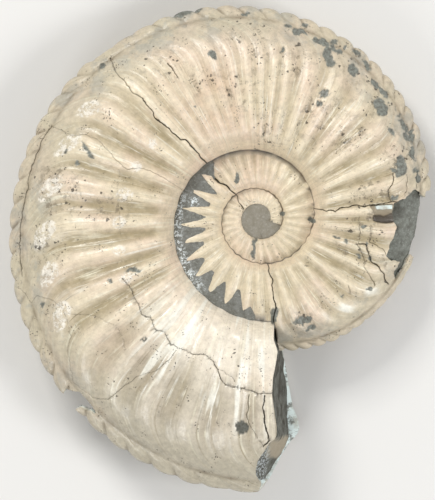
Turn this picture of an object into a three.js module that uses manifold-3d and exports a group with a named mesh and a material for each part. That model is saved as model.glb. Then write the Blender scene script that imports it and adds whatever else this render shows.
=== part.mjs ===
// A fossil ammonite: a coiled, ribbed shell with a beaded keel and a stone filling, lying on one flank.
// Millimetres and degrees. The coil is drawn about its own axis with +Z towards the shown flank, then laid
// down.
//
// A place on the shell is a growth angle and a share. The growth angle runs anticlockwise along the coil. It
// is 0 to the right of the axis on the last whorl, and falls by 360 for each whorl inwards. The share runs
// from 0 at the seam, where a whorl meets the one inside it, to 1 at the keel.
import * as THREE from "three";
import { mergeVertices } from "three/addons/utils/BufferGeometryUtils.js";
import Module from "manifold-3d";

const { degToRad: radians, radToDeg: degrees } = THREE.MathUtils;

// Growth of the coil: radii at growth angle 0, and growth for each radian
const SEAM_RADIUS = 11.37;
const SEAM_GROWTH = 0.1312;
const KEEL_RADIUS = 34.8;
const KEEL_GROWTH = 0.1555;
const KEEL_SLOWING = 0.0109;
const STEADY_ANGLE = -90;
const BREADTH_SHARE = 0.3;

// The mouth, where the last whorl is broken off, and the first whorl that shows at the centre
const WHORL = 360;
const MOUTH_ANGLE = 278.5;
const SEAM_STEP = 6;
const SEAM_STEPS = 160;
const START_ANGLE = MOUTH_ANGLE - SEAM_STEPS * SEAM_STEP;

// Half breadth across a whorl, as [share, part of the greatest half breadth]
const FLANK = [
  [0, 0.86], [0.12, 0.95], [0.24, 1], [0.36, 1], [0.5, 0.95], [0.65, 0.84], [0.78, 0.66],
  [0.86, 0.49], [0.925, 0.25], [0.955, 0.14], [0.985, 0.1], [1, 0],
];
const UMBILICAL_WALL = 0.12;

// Ribs, as [growth angle, rib number], evenly spaced between neighbouring entries
const RIB_ANCHORS = [
  [-1095, -86], [-435, -31], [-398, -28], [-345, -23], [-296.5, -20], [-233, -13], [-187.5, -10], [-99, -3],
  [-71.5, 0], [-47.5, 2], [-25, 4], [-16.5, 5], [4, 7], [14, 8], [36.5, 10], [60, 12], [70.5, 13], [79, 14],
  [94, 17], [112, 20], [132.5, 23], [157.5, 25], [182, 27], [215.5, 30], [239, 32], [262.5, 34], [302, 38],
];
const RIB_RISE = 0.2;
const RIB_MIDDLE = 0.45;
const RIB_STRENGTH = [
  [0.02, 0], [0.12, 0.8], [0.25, 1], [0.62, 1], [0.78, 0.6], [0.86, 0.25], [0.93, 0],
];
const RIB_PHASES = [0, 1 / 3, 2 / 3];
const RIB_BEND = 300;
const RIB_BEND_FROM = 0.6;
const RIB_ROUNDNESS = 0.7;

// Beads of the keel, spaced in degrees
const BEAD_STEP = 5.8;
const BEAD_RISE = 0.9;
const BEAD_LEAN = 1.5;
const KEEL_BASE = 0.925;

// Shares of the rows of points along the shell. The next whorl covers the shell from the seam row outwards.
const SEAM_ROW = 5;
const BEAD_ROW = 9;
const SEAM_SHARE = openShare(MOUTH_ANGLE - WHORL);
const ROWS = [0, 0.05, UMBILICAL_WALL, 0.3, 0.5, SEAM_SHARE, 0.78, 0.86, KEEL_BASE, 0.96, 1];
const CLOSEST = 1.2;

// Broken edges at the mouth, as [share, growth angle]: shell on each flank, and stone on the hidden one
const MOUTH_SHOWN = [
  [0, MOUTH_ANGLE], [0.12, 278], [0.3, 276], [0.5, 275], [0.66, 275], [0.74, 271], [0.86, 269.7], [1, 269.8],
];
const MOUTH_HIDDEN = [
  [0, MOUTH_ANGLE], [0.12, 280.5], [0.3, 280.4], [0.5, 280.3], [0.62, 281.3], [0.69, 278.3], [0.78, 275.4],
  [0.9, 272.6], [1, 269.8],
];
const STONE_HIDDEN = [
  [0, MOUTH_ANGLE], [0.18, 280], [0.3, 279.6], [0.5, 278.6], [0.68, 277.8], [0.8, 274.6], [0.9, 271.6],
  [1, 269.8],
];

// The stone that fills the last whorl
const SHELL_WALL = 1.3;
const DORSAL_WALL = 1.2;
const GAP = 0.3;
const STONE_FROM = -38;
const STONE_TO = 266;
const STONE_RINGS = 29;
const MOUTH_STEP = 11;
const STONE_SHARES = [0.18, 0.32, 0.5, 0.68, 0.83];
const STONE_TIP = 0.915;

// Shell broken away, as [growth angle, share of the inner edge], open to the keel. Less is gone behind.
const SIDE_BREAK = [
  [-20, 0.86], [-17, 0.74], [-9, 0.73], [-3, 0.72], [-1, 0.62], [3, 0.58], [6.5, 0.64], [8, 0.86],
];
const SIDE_BREAK_BEHIND = 0.84;
const KEEL_NOTCH = [
  [223, 0.97], [224.4, 0.93], [226.5, 0.925], [228.4, 0.94], [229.6, 0.97],
];
const CUTTER_REACH = 20;
const PAST_KEEL = 1.1;

// Matrix left along the last seam. Its inner edge dips into each valley and draws back at each rib.
const CRESCENT_FROM = -226;
const CRESCENT_TO = -92;
const CRESCENT_VALLEY = [
  [-226, 0.55], [-210, 0.26], [-165, 0.28], [-143, 0.44], [-104, 0.43], [-92, 0.58],
];
const CRESCENT_CREST = 0.61;
const CRESCENT_OUTER = 0.66;
const CRESCENT_TOP = -0.1;
const CRESCENT_DEPTH = 1;
const POCKET_SPREAD = 0.7;
const POCKET_TOP = 3;

// Matrix in the centre of the coil: a round beside the axis, with a pointed lobe
const CENTRE_AT = new THREE.Vector3(-0.25, -0.7, 0);
const CENTRE_RADIUS = 3;
const CENTRE_LOBE = 1.9;
const CENTRE_LOBE_TOWARDS = -14;
const CENTRE_LOBE_POINT = 6;
const CENTRE_TOP = 1.5;
const CENTRE_DEPTH = 1;
const CENTRE_CORNERS = 28;

// Lying on the hidden flank: the turns about X and Y, and how far the rib crests it rests on are worn flat
const TILT_X = -2.2;
const TILT_Y = 1.8;
const WORN_DEPTH = 0.4;
const TABLE_SIDE = 200;

const wasm = await Module();
wasm.setup();

// Straight-line reading of a table of [x, y]
function readTable(table, x) {
  const next = table.findIndex(([at]) => x < at);
  if (next === 0) return table[0][1];
  if (next < 0) return table[table.length - 1][1];
  const [x0, y0] = table[next - 1];
  const [x1, y1] = table[next];
  return y0 + ((y1 - y0) * (x - x0)) / (x1 - x0);
}

function seamRadius(angle) {
  return SEAM_RADIUS * Math.exp(SEAM_GROWTH * radians(angle));
}

function keelRadius(angle) {
  const slowing = radians(Math.max(angle, STEADY_ANGLE));
  const steady = radians(Math.min(angle - STEADY_ANGLE, 0));
  return KEEL_RADIUS * Math.exp(KEEL_GROWTH * slowing - KEEL_SLOWING * slowing ** 2 + SEAM_GROWTH * steady);
}

function whorlHeight(angle) {
  return keelRadius(angle) - seamRadius(angle);
}

function radiusAt(angle, share) {
  return seamRadius(angle) + share * whorlHeight(angle);
}

// The share of a whorl that the next whorl leaves uncovered
function openShare(angle) {
  return (seamRadius(angle + WHORL) - seamRadius(angle)) / whorlHeight(angle);
}

// Half breadth of a whorl without its ribs
function smoothFlank(angle, share) {
  return BREADTH_SHARE * whorlHeight(angle) * readTable(FLANK, share);
}

function ribNumber(angle) {
  return readTable(RIB_ANCHORS, angle);
}

function ribAngle(number) {
  return readTable(RIB_ANCHORS.map(([angle, n]) => [n, angle]), number);
}

// How far ribs run ahead of their middle, in degrees: most towards the keel
function ribBend(share) {
  return RIB_BEND * Math.max(share - RIB_BEND_FROM, 0) ** 3;
}

// Ribs rise in proportion to their spacing
function ribRise(angle) {
  const reach = 12;
  const ribs = ribNumber(angle + reach) - ribNumber(angle - reach);
  return (RIB_RISE * radians(2 * reach) * radiusAt(angle, RIB_MIDDLE)) / ribs;
}

function ribRelief(angle, share) {
  const wave = Math.cos(2 * Math.PI * ribNumber(angle - ribBend(share)));
  const rounded = Math.sign(wave) * Math.abs(wave) ** RIB_ROUNDNESS;
  return 0.5 * ribRise(angle) * readTable(RIB_STRENGTH, share) * rounded;
}

// Height of a flank above the plane of the coil. Beside the seam it rises steeply from the whorl inside it.
function flankHeight(angle, share) {
  const open = smoothFlank(angle, share) + ribRelief(angle, share);
  if (share >= UMBILICAL_WALL) return open;
  const seam = flankHeight(angle - WHORL, openShare(angle - WHORL));
  return seam + (open - seam) * (1 - (1 - share / UMBILICAL_WALL) ** 2);
}

function keelBead(angle, share) {
  if (share < KEEL_BASE) return 0;
  const wave = Math.cos((2 * Math.PI * (angle - BEAD_LEAN)) / BEAD_STEP);
  return (0.5 * BEAD_RISE * wave * (share - KEEL_BASE)) / (1 - KEEL_BASE);
}

function polar(angle, radius, height) {
  const turn = radians(angle);
  return new THREE.Vector3(radius * Math.cos(turn), radius * Math.sin(turn), height);
}

// A point of the shell's outside; side is 1 on the shown flank and -1 on the hidden one
function surfacePoint(angle, share, side) {
  const height = share === 1 ? 0 : side * flankHeight(angle, share);
  return polar(angle, radiusAt(angle, share) + keelBead(angle, share), height);
}

// A geometry with shared corners as a solid
function solidOf(geometry) {
  const bare = new THREE.BufferGeometry();
  bare.setAttribute("position", geometry.toNonIndexed().getAttribute("position"));
  const merged = mergeVertices(bare, 1e-4);
  const corner = (i) => merged.index.getX(i);
  const triVerts = [];
  for (let t = 0; t < merged.index.count; t += 3) {
    const [a, b, c] = [corner(t), corner(t + 1), corner(t + 2)];
    if (a !== b && b !== c && a !== c) triVerts.push(a, b, c);
  }
  const vertProperties = merged.getAttribute("position").array;
  const mesh = new wasm.Mesh({ numProp: 3, vertProperties, triVerts: new Uint32Array(triVerts) });
  return new wasm.Manifold(mesh);
}

function solidOfTriangles(triangles) {
  const corners = triangles.flat();
  const geometry = new THREE.BufferGeometry().setFromPoints(corners);
  geometry.setIndex(corners.map((_, i) => i));
  return solidOf(geometry);
}

function geometryOf(solid) {
  const { vertProperties, triVerts } = solid.getMesh();
  const geometry = new THREE.BufferGeometry();
  geometry.setAttribute("position", new THREE.Float32BufferAttribute(vertProperties, 3));
  geometry.setIndex(new THREE.Uint32BufferAttribute(triVerts, 1));
  geometry.computeVertexNormals();
  return geometry;
}

// Triangles between two lines of {at, point} that run the same way
function zipper(lower, upper) {
  const triangles = [];
  let i = 0;
  let j = 0;
  while (i < lower.length - 1 || j < upper.length - 1) {
    const nextLower = lower[i + 1]?.at ?? Infinity;
    const nextUpper = upper[j + 1]?.at ?? Infinity;
    if (nextLower <= nextUpper) triangles.push([lower[i].point, lower[++i].point, upper[j].point]);
    else triangles.push([lower[i].point, upper[j + 1].point, upper[j++].point]);
  }
  return triangles;
}

// Triangles that close a ring and run the way it does, cut in the plane that flatten gives
function cap(ring, flatten) {
  const outline = ring.map(flatten);
  const faces = THREE.ShapeUtils.triangulateShape(outline, []).map((face) => face.map((i) => ring[i]));
  return THREE.ShapeUtils.isClockWise(outline) ? flipped(faces) : faces;
}

function acrossCoil(point) {
  return new THREE.Vector2(Math.hypot(point.x, point.y), point.z);
}

function alongAxis(point) {
  return new THREE.Vector2(point.x, point.y);
}

function flipped(triangles) {
  return triangles.map(([a, b, c]) => [a, c, b]);
}

// A closed solid through rings with equal numbers of points, each anticlockwise as flatten shows the first
function loft(rings, flatten) {
  const triangles = [...flipped(cap(rings[0], flatten)), ...cap(rings[rings.length - 1], flatten)];
  for (let k = 1; k < rings.length; k++) {
    const from = rings[k - 1];
    const to = rings[k];
    from.forEach((point, i) => {
      const next = (i + 1) % from.length;
      triangles.push([point, from[next], to[i]], [from[next], to[next], to[i]]);
    });
  }
  return solidOfTriangles(triangles);
}

// Growth angles of a row's points strictly between two ends
function rowSamples(row, from, to) {
  const samples = [];
  if (row >= BEAD_ROW) {
    for (let n = Math.ceil(from / BEAD_STEP); n * BEAD_STEP < to; n += 0.5)
      samples.push(n * BEAD_STEP + BEAD_LEAN);
  } else {
    for (let n = Math.floor(ribNumber(from)); n <= ribNumber(to); n++)
      for (const phase of RIB_PHASES) samples.push(ribAngle(n + phase) + ribBend(ROWS[row]));
  }
  return samples.filter((angle) => angle > from + CLOSEST && angle < to - CLOSEST);
}

// The line of a row along one flank. Along a seam the two whorls share its points.
function rowLine(row, side) {
  const place = (angle) => {
    const point = surfacePoint(angle, rowShare(row, angle), side);
    return { at: angle - ribBend(ROWS[row]), point };
  };
  const covered = [];
  const mouth = readTable(side > 0 ? MOUTH_SHOWN : MOUTH_HIDDEN, ROWS[row]);
  const lastWhorl = MOUTH_ANGLE - WHORL;
  if (row === 0) {
    for (let angle = START_ANGLE; angle <= MOUTH_ANGLE; angle += SEAM_STEP) covered.push(place(angle));
    return covered;
  }
  if (row === SEAM_ROW) {
    for (let angle = START_ANGLE; angle < lastWhorl; angle += SEAM_STEP)
      covered.push({ at: angle, point: surfacePoint(angle + WHORL, 0, side) });
  }
  const from = row < SEAM_ROW ? START_ANGLE : lastWhorl;
  return [...covered, ...[from, ...rowSamples(row, from, mouth), mouth].map(place)];
}

// Rows below the seam row keep their places between the seams on the inner whorls
function rowShare(row, angle) {
  if (row >= SEAM_ROW || angle > MOUTH_ANGLE - WHORL) return ROWS[row];
  return (ROWS[row] * openShare(angle)) / ROWS[SEAM_ROW];
}

// The skin of one flank, from the centre to the keel, and the rings of points at its open ends
function flankSkin(side) {
  const lines = ROWS.map((_, row) => rowLine(row, side));
  const lastWhorl = lines[SEAM_ROW].filter(({ at }) => at > MOUTH_ANGLE - WHORL - CLOSEST);
  const triangles = [];
  for (let row = 1; row < ROWS.length; row++)
    triangles.push(...zipper(row === SEAM_ROW + 1 ? lastWhorl : lines[row - 1], lines[row]));
  const firstTurn = lines[0].slice(0, WHORL / SEAM_STEP + 1).map(({ point }) => point);
  const firstSection = lines.slice(1, SEAM_ROW).map((line) => line[0].point).reverse();
  const ring = [...firstTurn, ...firstSection];
  const middle = new THREE.Vector3(0, 0, ring[0].z);
  ring.forEach((point, i) => triangles.push([middle, ring[(i + 1) % ring.length], point]));
  return {
    triangles: side > 0 ? flipped(triangles) : triangles,
    mouth: lines.map((line) => line[line.length - 1].point),
    inside: [lastWhorl[0], ...lines.slice(SEAM_ROW + 1).map((line) => line[0])].map(({ point }) => point),
  };
}

// The whole coil, shell and filling together, closed across the mouth round the keel of the whorl inside it
function wholeCoil() {
  const shown = flankSkin(1);
  const hidden = flankSkin(-1);
  const outer = [...shown.mouth, ...hidden.mouth.slice(0, -1).reverse()];
  const inner = [...hidden.inside.slice(1), ...shown.inside.slice(1, -1).reverse()];
  const mouth = cap([...outer, ...inner], acrossCoil);
  return solidOfTriangles([...shown.triangles, ...hidden.triangles, ...mouth]);
}

// A section of the filling, drawn back from the outside by the wall and a gap
function stoneRing(angleAt, gap) {
  const corner = (share, side) => {
    const angle = angleAt(share, side);
    const radius = radiusAt(angle, share) + (share === STONE_SHARES[0] ? gap : 0);
    return polar(angle, radius, side * (smoothFlank(angle, share) - SHELL_WALL - gap));
  };
  const inner = angleAt(0, 1);
  const tip = angleAt(STONE_TIP, 1);
  return [
    polar(inner, keelRadius(inner - WHORL) + DORSAL_WALL + gap, 0),
    ...STONE_SHARES.map((share) => corner(share, 1)),
    polar(tip, radiusAt(tip, STONE_TIP) - 2 * gap, 0),
    ...STONE_SHARES.map((share) => corner(share, -1)).reverse(),
  ];
}

function stoneRings(from, gap) {
  const rings = [];
  for (let k = 0; k < STONE_RINGS; k++) {
    const angle = from + ((STONE_TO - from) * k) / (STONE_RINGS - 1);
    rings.push(stoneRing(() => angle, gap));
  }
  return rings;
}

// The stone ends at the mouth in a slanting face
function stoneSolid() {
  const mouth = (share, side) => readTable(side > 0 ? MOUTH_SHOWN : STONE_HIDDEN, share);
  return loft([...stoneRings(STONE_FROM, GAP), stoneRing(mouth, GAP)], acrossCoil);
}

// The room for the stone runs on past the mouth
function hollowSolid() {
  const gapAngle = degrees(GAP / keelRadius(STONE_FROM));
  const beyond = [1, 2].map((k) => stoneRing(() => STONE_TO + k * MOUTH_STEP, 0));
  return loft([...stoneRings(STONE_FROM - gapAngle, 0), ...beyond], acrossCoil);
}

// A cutter from an inner edge out past the keel, standing through the coil
function edgeCutter(edge, shareBehind) {
  const [first, last] = [edge[0], edge[edge.length - 1]];
  const outline = (height, least) => {
    const corner = ([angle, share]) => polar(angle, radiusAt(angle, Math.max(share, least)), height);
    const beyond = ([angle]) => polar(angle, PAST_KEEL * keelRadius(angle), height);
    return [...edge.map(corner), beyond(last), beyond(first)].reverse();
  };
  return loft([outline(-CUTTER_REACH, shareBehind), outline(CUTTER_REACH, 0)], alongAxis);
}

// The crescent of matrix, or the pocket for it, which is wider and deeper
function crescentOutline(spread) {
  const inner = [];
  const outer = [];
  for (let n = Math.ceil(ribNumber(CRESCENT_FROM)); n <= ribNumber(CRESCENT_TO); n++)
    for (const number of [n, n + 0.5]) {
      const angle = ribAngle(number);
      const share = number === n ? CRESCENT_CREST : readTable(CRESCENT_VALLEY, angle);
      inner.push([angle, share - spread / whorlHeight(angle)]);
      outer.push([angle, CRESCENT_OUTER]);
    }
  const ends = [[CRESCENT_FROM, CRESCENT_CREST], [CRESCENT_TO, CRESCENT_CREST]];
  return [ends[0], ...outer, ends[1], ...inner.reverse()];
}

// A slab with a top and a bottom that follow the flank, given its outline as [growth angle, share]
function flankSlab(outline, top, depth) {
  const ring = (rise) =>
    outline.map(([angle, share]) => polar(angle, radiusAt(angle, share), smoothFlank(angle, share) + rise));
  return loft([ring(top - depth), ring(top)], alongAxis);
}

function centreSlab(spread, top, depth) {
  const ring = (height) => {
    const points = [];
    for (let i = 0; i < CENTRE_CORNERS; i++) {
      const angle = (WHORL * i) / CENTRE_CORNERS;
      const facing = Math.max(Math.cos(radians(angle - CENTRE_LOBE_TOWARDS)), 0);
      const radius = CENTRE_RADIUS + CENTRE_LOBE * facing ** CENTRE_LOBE_POINT + spread;
      points.push(polar(angle, radius, height).add(CENTRE_AT));
    }
    return points;
  };
  return loft([ring(top - depth), ring(top)], alongAxis);
}

function shellSolid() {
  return wholeCoil()
    .subtract(hollowSolid())
    .subtract(edgeCutter(SIDE_BREAK, SIDE_BREAK_BEHIND))
    .subtract(edgeCutter(KEEL_NOTCH, 0))
    .subtract(flankSlab(crescentOutline(POCKET_SPREAD), POCKET_TOP, POCKET_TOP + CRESCENT_DEPTH + GAP))
    .subtract(centreSlab(GAP, POCKET_TOP, POCKET_TOP - CENTRE_TOP + CENTRE_DEPTH + GAP));
}

const tilt = new THREE.Matrix4().makeRotationFromEuler(new THREE.Euler(radians(TILT_X), radians(TILT_Y), 0));

// Cuts a solid of the coil flat where it would reach deepest into a table
function wornFlat(solid) {
  const laid = geometryOf(solid).applyMatrix4(tilt);
  laid.computeBoundingBox();
  const tableTop = laid.boundingBox.min.z + WORN_DEPTH;
  const table = new THREE.BoxGeometry(TABLE_SIDE, TABLE_SIDE, TABLE_SIDE);
  table.translate(0, 0, tableTop - TABLE_SIDE / 2).applyMatrix4(tilt.clone().invert());
  return solid.subtract(solidOf(table));
}

const SHELL_LOOK = { color: 0xd9cdb4, roughness: 0.4, metalness: 0 };
const STONE_LOOK = { color: 0x6f6e6b, roughness: 0.95, metalness: 0 };

function makePiece(name, solid, look) {
  const piece = new THREE.Mesh(geometryOf(solid), new THREE.MeshStandardMaterial(look));
  piece.name = name;
  return piece;
}

// The coil tilted onto its resting crests, with the middle of its footprint at the origin
const coil = new THREE.Group();
coil.add(
  makePiece("shell", wornFlat(shellSolid()), SHELL_LOOK),
  makePiece("stone_filling", stoneSolid(), STONE_LOOK),
  makePiece("umbilical_matrix", flankSlab(crescentOutline(0), CRESCENT_TOP, CRESCENT_DEPTH), STONE_LOOK),
  makePiece("centre_matrix", centreSlab(0, CENTRE_TOP, CENTRE_DEPTH), STONE_LOOK),
);
coil.rotation.setFromRotationMatrix(tilt);
const laidBox = new THREE.Box3().setFromObject(coil, true);
const footprint = laidBox.getCenter(new THREE.Vector3()).setZ(laidBox.min.z);
coil.position.copy(footprint).negate();

const fossil = new THREE.Group();
fossil.add(coil);

export default fossil;
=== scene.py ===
# The looks of a fossil ammonite: a fine shell with cracks and pits, its stone filling and matrix, a floor,
# soft light and a camera that looks down the coil's axis. Lengths are millimetres until a mesh is made.
#
# A place on the shell is a growth angle and a share. The growth angle, in degrees, runs anticlockwise along
# the coil, is 0 to the right of the axis on the last whorl, and falls by 360 for each whorl inwards. The
# share runs from 0 at the seam, where a whorl meets the one inside it, to 1 at the keel.
import math

import bpy
import numpy as np
from mathutils import Euler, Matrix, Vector


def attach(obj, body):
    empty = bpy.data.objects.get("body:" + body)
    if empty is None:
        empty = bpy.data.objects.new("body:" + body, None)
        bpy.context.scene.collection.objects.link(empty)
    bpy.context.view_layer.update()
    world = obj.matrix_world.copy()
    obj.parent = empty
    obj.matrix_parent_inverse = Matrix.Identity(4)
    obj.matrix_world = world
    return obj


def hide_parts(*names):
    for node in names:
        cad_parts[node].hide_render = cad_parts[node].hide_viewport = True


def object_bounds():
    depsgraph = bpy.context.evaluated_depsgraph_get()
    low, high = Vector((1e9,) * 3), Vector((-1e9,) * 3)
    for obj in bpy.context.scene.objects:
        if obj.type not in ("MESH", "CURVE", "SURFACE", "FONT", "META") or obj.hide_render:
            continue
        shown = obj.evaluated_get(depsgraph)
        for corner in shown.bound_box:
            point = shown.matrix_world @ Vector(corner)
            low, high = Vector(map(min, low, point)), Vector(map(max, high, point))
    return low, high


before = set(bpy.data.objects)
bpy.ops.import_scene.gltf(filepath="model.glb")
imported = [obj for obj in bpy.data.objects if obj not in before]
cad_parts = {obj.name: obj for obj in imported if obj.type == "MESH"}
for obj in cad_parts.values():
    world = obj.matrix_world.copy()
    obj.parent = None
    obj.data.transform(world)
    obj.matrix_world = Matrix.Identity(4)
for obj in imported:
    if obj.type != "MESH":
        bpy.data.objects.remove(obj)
cad_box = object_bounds()

MM = 0.001

# The coil's place and tilt in the frame
COIL_AT = (7.992, 6.599, 9.832)
TILT_X = -2.2
TILT_Y = 1.8

# Growth of the coil
WHORL = 360
SEAM_RADIUS = 11.37
SEAM_GROWTH = 0.1312
KEEL_RADIUS = 34.8
KEEL_GROWTH = 0.1555
KEEL_SLOWING = 0.0109
STEADY_ANGLE = -90
BREADTH_SHARE = 0.3
MOUTH_ANGLE = 278.5
SEAM_WAVE = 0.013
SEAM_WAVE_DRIFT = 0.35
SEAM_WAVE_BEAT = 2.3
SEAM_WAVE_ENDS = (0, 60)

# Half breadth across a whorl, as [share, part of the greatest half breadth]
FLANK = [
    [0, 0.86], [0.12, 0.95], [0.24, 1], [0.36, 1], [0.5, 0.95], [0.65, 0.84], [0.78, 0.66],
    [0.86, 0.49], [0.925, 0.25], [0.955, 0.14], [0.985, 0.1], [1, 0],
]
UMBILICAL_WALL = 0.12

# Ribs, as [growth angle, rib number], and their strength at each share
RIB_ANCHORS = [
    [-1095, -86], [-435, -31], [-398, -28], [-345, -23], [-296.5, -20], [-233, -13], [-187.5, -10], [-99, -3],
    [-71.5, 0], [-47.5, 2], [-25, 4], [-16.5, 5], [4, 7], [14, 8], [36.5, 10], [60, 12], [70.5, 13], [79, 14],
    [94, 17], [112, 20], [132.5, 23], [157.5, 25], [182, 27], [215.5, 30], [239, 32], [262.5, 34], [302, 38],
]
RIB_RISE = 0.2
RIB_MIDDLE = 0.45
RIB_STRENGTH = [[0.02, 0], [0.12, 0.8], [0.25, 1], [0.62, 1], [0.78, 0.6], [0.86, 0.25], [0.93, 0]]
RIB_BEND = 300
RIB_BEND_FROM = 0.6
RIB_BROADNESS = [[-260, 1.1], [-90, 1.4], [0, 1.8], [60, 2], [120, 2.6]]
VALLEY_DEPTH = 1.2
LOW_RIBS = [[212, 1], [240, 0.7], [256, 0.5]]

# Keel cord
BEAD_STEP = 5.8
BEAD_RISE = 0.8
BEAD_SWEEP = 38
BEAD_SWELL = 0.5
BEAD_SWELL_AT = (0.965, 0.02)
BEAD_MEAN = 0.55
KEEL_BASE = 0.925
KEEL_GROOVE_WIDTH = 0.013
KEEL_WEAR = [
    [-60, 0], [-36, 0.7], [-12, 0.7], [0, 0], [114, 0], [124, 0.5], [134, 0.7], [138, 0], [256, 0],
    [262, 0.5], [270, 0.5],
]

# Broken edges at the mouth, as [share, growth angle]: of the shell on each flank, and of the hidden stone
MOUTH_SHOWN = [
    [0, MOUTH_ANGLE], [0.1, 277], [0.17, 278.1], [0.32, 275.1], [0.42, 274.3], [0.6, 274.9], [0.67, 274.6],
    [0.7, 272.6], [0.75, 271.3], [0.8, 269.8], [0.88, 269.2], [0.94, 270.6], [1, 269.8],
]
MOUTH_HIDDEN = [
    [0, MOUTH_ANGLE], [0.12, 280.5], [0.3, 280.4], [0.5, 280.3], [0.57, 281.1], [0.63, 281.1], [0.67, 280],
    [0.7, 278.2], [0.78, 275.4], [0.9, 272.6], [1, 269.8],
]
STONE_HIDDEN = [
    [0, MOUTH_ANGLE], [0.18, 280], [0.3, 279.6], [0.5, 278.6], [0.68, 277.8], [0.8, 274.6], [0.9, 271.6],
    [1, 269.8],
]

# The mesh of the shell: blocks of two degrees and two rows, quartered up to four times where there is
# detail, but no further once their sides are small. A column is a degree, but they spread to the mouth's
# edge and bend to round the start.
SMALL_CELL = 0.13
FINEST = 8
BLOCK = 2 * FINEST
COLUMNS = 1016
ROWS_OPEN = 20
ROWS_COVERED = 12
ROWS_FLANK = ROWS_OPEN + ROWS_COVERED
MOUTH_SPREAD = 22
START_SPREAD = 25
START_ROUND = 12
KEEL_FINE_SHARE = 0.9
MOUTH_FINE_ANGLE = 8
BREAK_FINE = 0.3

# The shell's thickness, the rings of its inside in degrees back from the mouth, how far they are pulled in at
# the keel, and the middle point that closes the first whorl on each flank
SHELL_WALL = 1.3
RIM_RINGS = [0, 2, 4, 7]
RIM_PULL = 0.6
CENTRE_ENDS = [[0, 0, 0.8], [0, 0, -1.3]]

# How far each small feature, the growth lines and the unevenness stand out of the shell
FEATURE_RISES = {"crack": -0.5, "patch": -0.16, "flake": -0.6, "nacre": 0.35, "hollow": -0.7, "groove": -0.35}
GROWTH_RISE = 0.05
SURFACE_RISE = 0.06

# Noise is read this far off the coil's plane, so that it differs on the two flanks
FLANKS_APART = 5.0

# Seeds of the noise
CRACK_SEED, PATCH_SEED, BELT_SEED, FLAKE_SEED = 11, 21, 29, 31
SEAM_SEED, GROWTH_SEED, SURFACE_SEED, BREAK_SEED, NOTCH_SEED = 41, 51, 61, 81, 85
CRESCENT_SEED, CENTRE_SEED, PIT_SEED, CRYSTAL_SEED, CHIP_SEED = 111, 121, 131, 141, 151
FILLING_SEEDS = (91, 95, 99)

# A photo pixel in millimetres, the pixel of the coil's axis, and the photo's size
PIXEL = 0.2062
CENTRE_PIXEL = (258.6, 218.3)
FRAME_PIXELS = (435, 500)


def read(table, x):
    points = np.array(table, float)
    return np.interp(x, points[:, 0], points[:, 1])


# A table's reading, rounded where its slope changes
def read_smooth(table, x, reach=0.03):
    offsets = np.linspace(-reach, reach, 5)
    return sum(read(table, np.clip(x + d, 0, 1)) for d in offsets) / len(offsets)


# From 0 at the low value to 1 at the high one, eased at both
def ease(low, high, x):
    t = np.clip((x - low) / (high - low), 0, 1)
    return t * t * (3 - 2 * t)


# 1 between two pairs of values and 0 outside them, rising over the first and falling over the second
def between(x, rise, fall):
    return ease(*rise, x) * (1 - ease(*fall, x))


def bell(x, middle, width):
    return np.exp(-(((x - middle) / width) ** 2))


# A mask from the distance to an edge: 1 inside, 0 outside, blending over the reach on both sides
def within(distance, reach=0.1):
    return 1 - ease(-reach, reach, distance)


# The seam of an inner whorl swings in and out a little, unevenly, where it crosses the ribs beneath it
def seam_radius(angle):
    rib = rib_number(angle - WHORL)
    drift = 1 - SEAM_WAVE_DRIFT + SEAM_WAVE_DRIFT * np.sin(SEAM_WAVE_BEAT * rib)
    swing = np.cos(2 * np.pi * rib) * drift * (1 - ease(*SEAM_WAVE_ENDS, angle))
    return SEAM_RADIUS * np.exp(SEAM_GROWTH * np.radians(angle)) * (1 + SEAM_WAVE * swing)


def keel_radius(angle):
    slowing = np.radians(np.maximum(angle, STEADY_ANGLE))
    steady = np.radians(np.minimum(angle - STEADY_ANGLE, 0))
    return KEEL_RADIUS * np.exp(KEEL_GROWTH * slowing - KEEL_SLOWING * slowing**2 + SEAM_GROWTH * steady)


def whorl_height(angle):
    return keel_radius(angle) - seam_radius(angle)


def radius_at(angle, share):
    return seam_radius(angle) + share * whorl_height(angle)


# The share of a whorl that the next whorl leaves uncovered
def open_share(angle):
    return (seam_radius(angle + WHORL) - seam_radius(angle)) / whorl_height(angle)


def smooth_flank(angle, share):
    return BREADTH_SHARE * whorl_height(angle) * read_smooth(FLANK, share)


def rib_number(angle):
    return read(RIB_ANCHORS, angle)


# How far ribs run ahead of their middle, in degrees
def rib_bend(share):
    return RIB_BEND * np.maximum(share - RIB_BEND_FROM, 0) ** 3


def rib_rise(angle):
    reach = 12
    ribs = rib_number(angle + reach) - rib_number(angle - reach)
    return RIB_RISE * np.radians(2 * reach) * radius_at(angle, RIB_MIDDLE) / ribs


# How far below a crest the ribs' pattern lies, from 0 on the crests to 1 in the valleys
def rib_dip(angle, share):
    turn = np.abs(np.sin(np.pi * rib_number(angle - rib_bend(share))))
    return turn ** read(RIB_BROADNESS, angle)


def rib_strength(angle, share):
    return read(RIB_STRENGTH, share) * read(LOW_RIBS, angle)


# What the ribs add to the smooth flank: half their rise on a crest
def rib_relief(angle, share):
    wave = 0.5 - VALLEY_DEPTH * rib_dip(angle, share)
    return wave * rib_strength(angle, share) * rib_rise(angle)


# Height of a flank above the plane of the coil
def flank_height(angle, share):
    opened = smooth_flank(angle, share) + rib_relief(angle, share)
    inner = angle - WHORL
    inner_share = open_share(inner)
    seam = smooth_flank(inner, inner_share) + rib_relief(inner, inner_share)
    rise = 1 - (1 - np.clip(share / UMBILICAL_WALL, 0, 1)) ** 2
    return seam + (opened - seam) * rise


# Repeatable noise between -1 and 1 at points of any number
NOISE_CELLS = 256
SEED_STEP = 37.3
noise_mix = np.random.default_rng(7).permutation(NOISE_CELLS)
noise_values = np.random.default_rng(8).uniform(-1, 1, NOISE_CELLS)


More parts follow.
